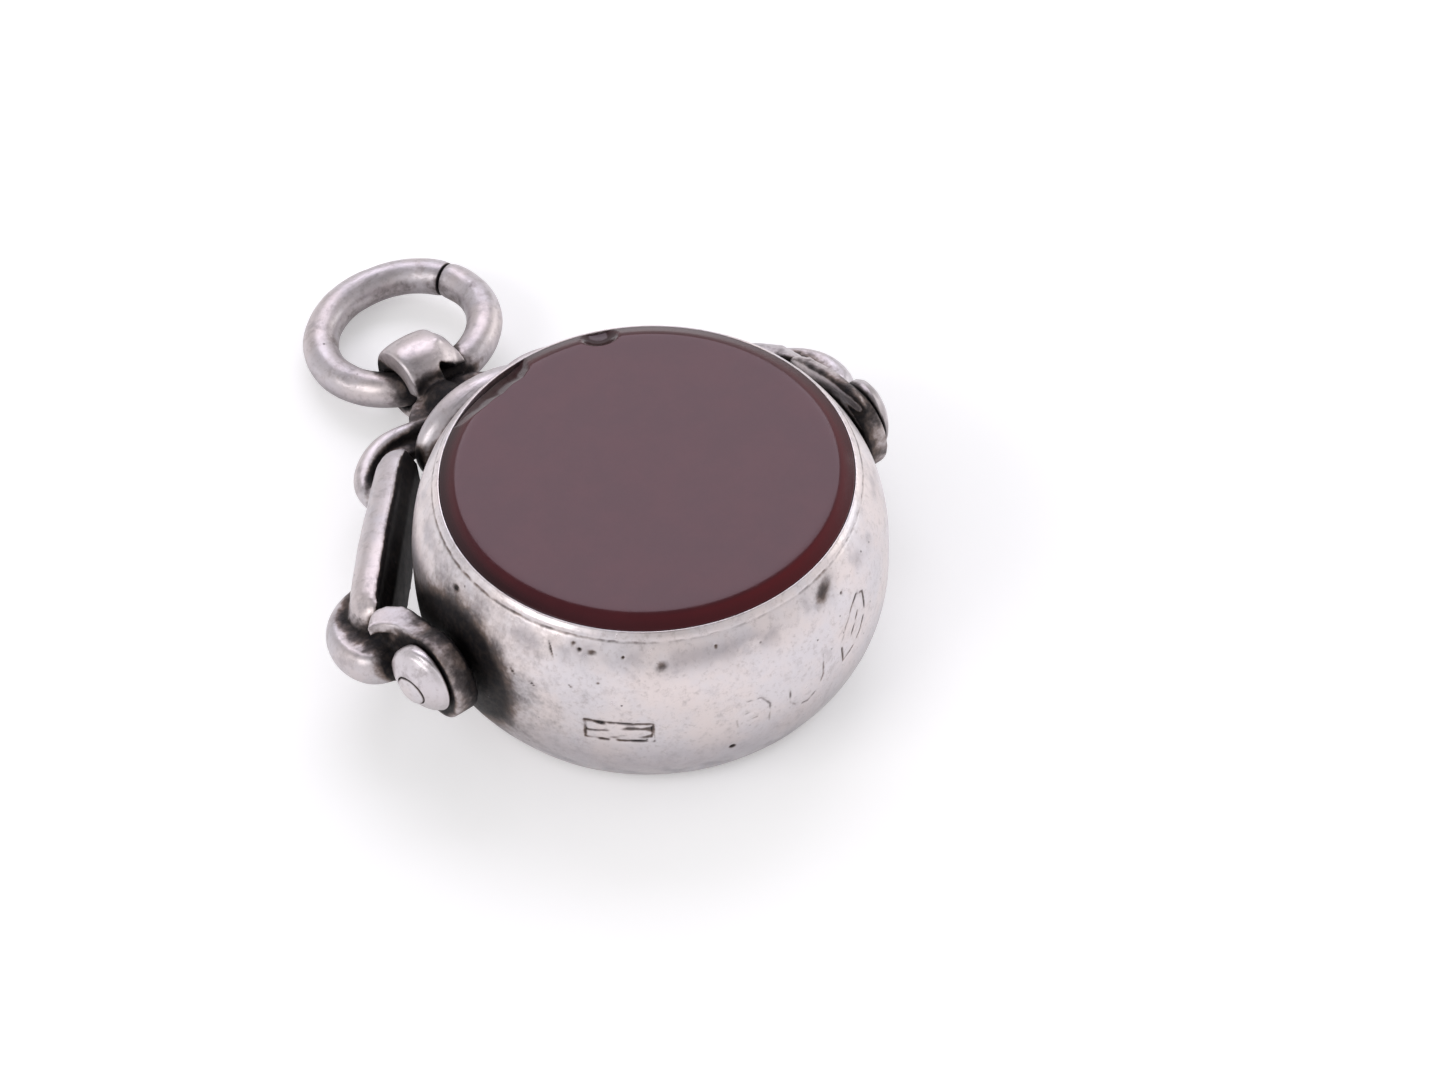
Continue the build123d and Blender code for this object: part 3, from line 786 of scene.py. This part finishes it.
def buildTarnishAndShade():
    # silver going brown, then black, where it is shut in, and where painted shade is laid on
    group, given, result = newGroup(
        "tarnishAndShade",
        [("Point", "NodeSocketVector", None), ("Recess", "NodeSocketFloat", 0.0), ("Start", "NodeSocketFloat", 0.32),
         ("Full", "NodeSocketFloat", 0.62), ("Patch", "NodeSocketFloat", 0.5)],
        [("Color", "NodeSocketColor"), ("Black", "NodeSocketFloat"), ("FilmAndShade", "NodeSocketFloat")])
    point = given.outputs["Point"]
    patchy = noiseOf(group, point, 0.9, 4.0, 0.6)
    fine = noiseOf(group, point, 4.0, 3.0, 0.6)
    shift = doMath(group, "MULTIPLY", doMath(group, "SUBTRACT", patchy, 0.5), given.outputs["Patch"])
    shift = doMath(group, "ADD", shift, doMath(group, "MULTIPLY_ADD", fine, 0.18, -0.09))
    level = doMath(group, "ADD", given.outputs["Recess"], shift)
    span = doMath(group, "SUBTRACT", given.outputs["Full"], given.outputs["Start"])
    share = doMath(group, "DIVIDE", doMath(group, "SUBTRACT", level, given.outputs["Start"]), span, clamp=True)
    filmAndShade = remap(group, share, 0.0, 0.6)
    black = remap(group, share, 0.3, 1.0)
    brown = mixColors(group, remap(group, patchy, 0.4, 0.6), (0.21, 0.16, 0.14), (0.19, 0.165, 0.165))
    dark = mixColors(group, remap(group, fine, 0.35, 0.7), (0.009, 0.008, 0.010), (0.030, 0.023, 0.021))
    group.links.new(mixColors(group, black, brown, dark), result.inputs["Color"])
    group.links.new(black, result.inputs["Black"])
    group.links.new(filmAndShade, result.inputs["FilmAndShade"])
    return group


def placeGroup(tree, group, **values):
    node = tree.nodes.new("ShaderNodeGroup")
    node.node_tree = group
    for key, value in values.items():
        if isinstance(value, (int, float)):
            node.inputs[key].default_value = value
        else:
            tree.links.new(value, node.inputs[key])
    return node


def objectPoint(tree, seed):
    # place on the object in millimetres, moved by a seed of its own for each piece
    place = tree.nodes.new("ShaderNodeTexCoord")
    mapping = tree.nodes.new("ShaderNodeMapping")
    mapping.inputs["Scale"].default_value = (1000, 1000, 1000)
    mapping.inputs["Location"].default_value = (seed * 11.7, seed * 5.3, seed * 8.9)
    tree.links.new(place.outputs["Object"], mapping.inputs["Vector"])
    return mapping.outputs[0]


groups = {"scratches": buildScratches(), "pits": buildPits(), "tarnishAndShade": buildTarnishAndShade()}

# rubbing marks and pin pricks, the same on every silver piece
wear = {
    "scratches": 0.8, "pitScale": 1.4, "pitSize": 0.09, "pitShade": 0.75, "pitColor": (0.10, 0.085, 0.085),
    "smudgeColor": (0.40, 0.36, 0.37), "speckleColor": (0.40, 0.35, 0.34),
}
# heights of the fine relief in mm
relief = {"grain": 0.0015, "hammer": 0.012, "scratch": -0.003, "pit": -0.02}
# clean colors, grey film colour that also lays painted shade, roughness, smudges, and the tarnish's start, full black
# and patchiness
silverLook = {
    "wallSilver": {
        "warm": (0.72, 0.645, 0.635), "cool": (0.67, 0.635, 0.66), "hazeAndShade": (0.3, 0.275, 0.3), "rough": 0.3,
        "smudge": 0.38, "smudgeFrom": 0.52, "start": 0.08, "full": 0.46, "patch": 0.26, "speckle": 0.45, "bump": 1.0,
    },
    "buttonSilver": {
        "warm": (0.66, 0.6, 0.61), "cool": (0.62, 0.58, 0.605), "hazeAndShade": (0.28, 0.25, 0.25), "rough": 0.33,
        "smudge": 0.8, "smudgeFrom": 0.5, "start": 0.16, "full": 0.5, "patch": 0.4, "speckle": 0.25, "bump": 0.35,
    },
    "frameSilver": {
        "warm": (0.58, 0.52, 0.52), "cool": (0.54, 0.51, 0.535), "hazeAndShade": (0.25, 0.22, 0.235), "rough": 0.36,
        "smudge": 0.7, "smudgeFrom": 0.5, "start": 0.1, "full": 0.42, "patch": 0.5, "speckle": 0.5, "bump": 1.0,
    },
    "ringSilver": {
        "warm": (0.57, 0.51, 0.51), "cool": (0.54, 0.505, 0.53), "hazeAndShade": (0.24, 0.21, 0.225), "rough": 0.38,
        "smudge": 0.75, "smudgeFrom": 0.48, "start": 0.1, "full": 0.44, "patch": 0.5, "speckle": 0.5, "bump": 1.0,
    },
}


def makeSilver(name, seed):
    look = silverLook[name]
    material = bpy.data.materials.new(name)
    material.use_nodes = True
    tree = material.node_tree
    shader = tree.nodes["Principled BSDF"]
    point = objectPoint(tree, seed)
    shut = tree.nodes.new("ShaderNodeAttribute")
    shut.attribute_name = "recessAndShade"
    scratches = placeGroup(tree, groups["scratches"], Point=point, Density=wear["scratches"]).outputs["Marks"]
    pits = placeGroup(tree, groups["pits"], Point=point, Scale=wear["pitScale"], Size=wear["pitSize"]).outputs["Pits"]
    cast = placeGroup(tree, groups["tarnishAndShade"], Point=point, Recess=shut.outputs["Fac"], Start=look["start"],
                      Full=look["full"], Patch=look["patch"])
    clouds = noiseOf(tree, point, 0.35, 4.0, 0.6)
    grey = noiseOf(tree, point, 1.5, 5.0, 0.7)
    clean = mixColors(tree, remap(tree, clouds, 0.35, 0.65), look["warm"], look["cool"])
    smudge = remap(tree, grey, look["smudgeFrom"], look["smudgeFrom"] + 0.18)
    clean = mixColors(tree, doMath(tree, "MULTIPLY", smudge, look["smudge"]), clean, wear["smudgeColor"])
    speckle = remap(tree, noiseOf(tree, point, 4.2, 4.0, 0.7), 0.5, 0.72)
    clean = mixColors(tree, doMath(tree, "MULTIPLY", speckle, look["speckle"]), clean, wear["speckleColor"])
    # grey film: haze and smudges, and painted shade on what faces down and on the drum's lower wall
    hazeAndShade = tree.nodes.new("ShaderNodeAttribute")
    hazeAndShade.attribute_name = "hazeAndShade"
    filmAndShade = doMath(tree, "MULTIPLY", hazeAndShade.outputs["Fac"], remap(tree, grey, 0.2, 0.7, 0.8, 1.1), clamp=True)
    clean = mixColors(tree, filmAndShade, clean, look["hazeAndShade"])
    # tarnish colour, which also lays painted shade
    color = mixColors(tree, cast.outputs["FilmAndShade"], clean, cast.outputs["Color"])
    color = mixColors(tree, doMath(tree, "MULTIPLY", pits, wear["pitShade"]), color, wear["pitColor"])
    tree.links.new(color, shader.inputs["Base Color"])
    metal = doMath(tree, "SUBTRACT", 1.0, doMath(tree, "MULTIPLY", cast.outputs["Black"], 0.25))
    tree.links.new(metal, shader.inputs["Metallic"])
    rough = doMath(tree, "MULTIPLY_ADD", noiseOf(tree, point, 2.3, 3.0), 0.14, look["rough"] - 0.07)
    rough = doMath(tree, "MULTIPLY_ADD", scratches, 0.12, rough)
    rough = doMath(tree, "MULTIPLY_ADD", cast.outputs["FilmAndShade"], 0.22, rough)
    tree.links.new(rough, shader.inputs["Roughness"])
    grain = noiseOf(tree, point, 9.0, 3.0, 0.6)
    hammer = noiseOf(tree, point, 1.3, 2.0, 0.5)
    height = doMath(tree, "MULTIPLY", grain, relief["grain"])
    for mark, high in ((hammer, relief["hammer"]), (scratches, relief["scratch"]), (pits, relief["pit"])):
        height = doMath(tree, "MULTIPLY_ADD", mark, high, height)
    bump = tree.nodes.new("ShaderNodeBump")
    bump.inputs["Distance"].default_value = mm
    bump.inputs["Strength"].default_value = look["bump"]
    tree.links.new(height, bump.inputs["Height"])
    tree.links.new(bump.outputs["Normal"], shader.inputs["Normal"])
    return material


# the edge color is a painted glow of light through the stone, and the joint color also lays painted shade of the lip
carnelianLook = {
    "dark": (0.050, 0.005, 0.008), "light": (0.060, 0.007, 0.010), "edge": (0.085, 0.004, 0.006),
    "jointAndShade": (0.010, 0.001, 0.0015), "rough": 0.1, "tint": (1.0, 0.86, 0.92),
}


def makeCarnelian():
    look = carnelianLook
    material = bpy.data.materials.new("carnelian")
    material.use_nodes = True
    tree = material.node_tree
    shader = tree.nodes["Principled BSDF"]
    point = objectPoint(tree, 3)
    veins = noiseOf(tree, point, 0.5, 4.0, 0.6)
    color = mixColors(tree, remap(tree, veins, 0.35, 0.68), look["dark"], look["light"])
    # painted glow: the edge colour stands in for light coming through the stone
    paintedGlow = tree.nodes.new("ShaderNodeAttribute")
    paintedGlow.attribute_name = "paintedGlow"
    color = mixColors(tree, paintedGlow.outputs["Fac"], color, look["edge"])
    # near-black joint with the lip, with painted shade of the lip in it
    jointAndShade = tree.nodes.new("ShaderNodeAttribute")
    jointAndShade.attribute_name = "recessAndShade"
    color = mixColors(tree, jointAndShade.outputs["Fac"], color, look["jointAndShade"])
    tree.links.new(color, shader.inputs["Base Color"])
    pits = placeGroup(tree, groups["pits"], Point=point, Scale=0.5, Size=0.04).outputs["Pits"]
    scratches = placeGroup(tree, groups["scratches"], Point=point, Density=0.5).outputs["Marks"]
    rough = doMath(tree, "MULTIPLY_ADD", noiseOf(tree, point, 3.0, 3.0), 0.08, look["rough"])
    rough = doMath(tree, "MULTIPLY_ADD", scratches, 0.06, rough)
    tree.links.new(rough, shader.inputs["Roughness"])
    shader.inputs["IOR"].default_value = 1.49
    shader.inputs["Specular Tint"].default_value = look["tint"] + (1.0,)
    height = doMath(tree, "MULTIPLY_ADD", pits, -0.02, doMath(tree, "MULTIPLY", scratches, -0.001))
    bump = tree.nodes.new("ShaderNodeBump")
    bump.inputs["Distance"].default_value = mm
    tree.links.new(height, bump.inputs["Height"])
    tree.links.new(bump.outputs["Normal"], shader.inputs["Normal"])
    return material


# light, floor and camera

studio = {
    "floorSize": 1.6, "floorColor": (0.9, 0.9, 0.905), "floorGlow": 0.3, "skyColor": (1.0, 0.985, 1.0),
    # how bright the room is at each height, as the sine of the angle above the floor
    "sky": ((0.0, 0.75), (0.3, 0.85), (0.55, 0.8), (0.8, 0.42), (1.0, 0.32)),
    "drumCentre": (0.0, 0.0, midHeight), "distance": 200.0, "lens": 120.2,
    "ahead": (0.393, 0.545, -0.740), "right": (0.789, -0.613, -0.033), "aimRight": 2.98, "aimUp": 0.21,
}
# place, size, power and color of each soft lamp
lamps = {
    "softBack": ((0.30, 0.41, 0.55), (0.62, 0.40), 1.55, (0.99, 0.955, 1.07)),
    "softLeft": ((-0.62, 0.05, 0.42), (0.42, 0.34), 1.3, (1.0, 0.98, 0.98)),
    "softRight": ((0.62, -0.10, 0.16), (0.5, 0.28), 0.6, (1.0, 1.0, 1.0)),
}


def makeFloor():
    bm = bmesh.new()
    half = studio["floorSize"] / 2
    corners = [bm.verts.new((x, y, -0.00002)) for x, y in ((-half, -half), (half, -half), (half, half), (-half, half))]
    bm.faces.new(corners)
    mesh = bpy.data.meshes.new("floor")
    bm.to_mesh(mesh)
    bm.free()
    floor = bpy.data.objects.new("floor", mesh)
    bpy.context.scene.collection.objects.link(floor)
    material = bpy.data.materials.new("whiteCard")
    material.use_nodes = True
    shader = material.node_tree.nodes["Principled BSDF"]
    shader.inputs["Base Color"].default_value = studio["floorColor"] + (1.0,)
    shader.inputs["Roughness"].default_value = 0.8
    shader.inputs["Emission Color"].default_value = (1.0, 1.0, 1.0, 1.0)
    shader.inputs["Emission Strength"].default_value = studio["floorGlow"]
    mesh.materials.append(material)


def setUpLight():
    world = bpy.data.worlds.new("studio")
    world.use_nodes = True
    tree = world.node_tree
    back = tree.nodes["Background"]
    place = tree.nodes.new("ShaderNodeTexCoord")
    parts = tree.nodes.new("ShaderNodeSeparateXYZ")
    tree.links.new(place.outputs["Generated"], parts.inputs[0])
    ramp = tree.nodes.new("ShaderNodeValToRGB")
    while len(ramp.color_ramp.elements) < len(studio["sky"]):
        ramp.color_ramp.elements.new(0.5)
    for stop, (height, level) in zip(ramp.color_ramp.elements, studio["sky"]):
        stop.position = height
        stop.color = [level * part for part in studio["skyColor"]] + [1.0]
    tree.links.new(parts.outputs["Z"], ramp.inputs[0])
    tree.links.new(ramp.outputs[0], back.inputs["Color"])
    bpy.context.scene.world = world
    for name, (place, size, power, color) in lamps.items():
        data = bpy.data.lights.new(name, "AREA")
        data.shape = "RECTANGLE"
        data.size, data.size_y = size
        data.energy = power
        data.color = color
        lamp = bpy.data.objects.new(name, data)
        lamp.location = place
        lamp.rotation_euler = Vector(place).to_track_quat("Z", "Y").to_euler()
        bpy.context.scene.collection.objects.link(lamp)
    bpy.context.scene.view_settings.view_transform = "Standard"


def setUpCamera():
    ahead, right = Vector(studio["ahead"]).normalized(), Vector(studio["right"])
    right = (right - ahead * right.dot(ahead)).normalized()
    up = right.cross(ahead)
    centre = Vector(studio["drumCentre"])
    place = centre - ahead * studio["distance"]
    aim = centre + right * studio["aimRight"] + up * studio["aimUp"]
    look = (aim - place).normalized()
    side = (right - look * right.dot(look)).normalized()
    top = side.cross(look)
    data = bpy.data.cameras.new("camera")
    data.lens = studio["lens"]
    data.sensor_width = 36
    data.clip_start = 0.01
    camera = bpy.data.objects.new("camera", data)
    turn = Matrix((side, top, -look)).transposed().to_4x4()
    camera.matrix_world = Matrix.Translation(place * mm) @ turn
    bpy.context.scene.collection.objects.link(camera)
    bpy.context.scene.camera = camera


# put together

drumWall = makeDrum()
upperStone = makeStone("upperStone", 1, "upper_stone")
lowerStone = makeStone("lowerStone", -1, "lower_stone")
leftButton = makeButton("leftButton", -1, "left_button")
rightButton = makeButton("rightButton", 1, "right_button")
print("drum, stones and buttons made")
swivelFrame = makeFrame()
jumpRing = makeRing()
print("frame and ring made")
paintRecess([drumWall, leftButton, rightButton, swivelFrame, jumpRing])
print("recesses painted")

carnelian = makeCarnelian()
silverOf = {
    drumWall: makeSilver("wallSilver", 1), leftButton: makeSilver("buttonSilver", 2),
    swivelFrame: makeSilver("frameSilver", 4), jumpRing: makeSilver("ringSilver", 5),
}
silverOf[rightButton] = silverOf[leftButton]

for piece in (drumWall, upperStone, lowerStone, leftButton, rightButton, swivelFrame, jumpRing):
    piece.data.transform(Matrix.Scale(mm, 4))
    piece.data.materials.clear()
    piece.data.materials.append(silverOf.get(piece, carnelian))
    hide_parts(piece["stands"])
    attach(piece, piece["body"])
print("materials set")

makeFloor()
setUpLight()
setUpCamera()
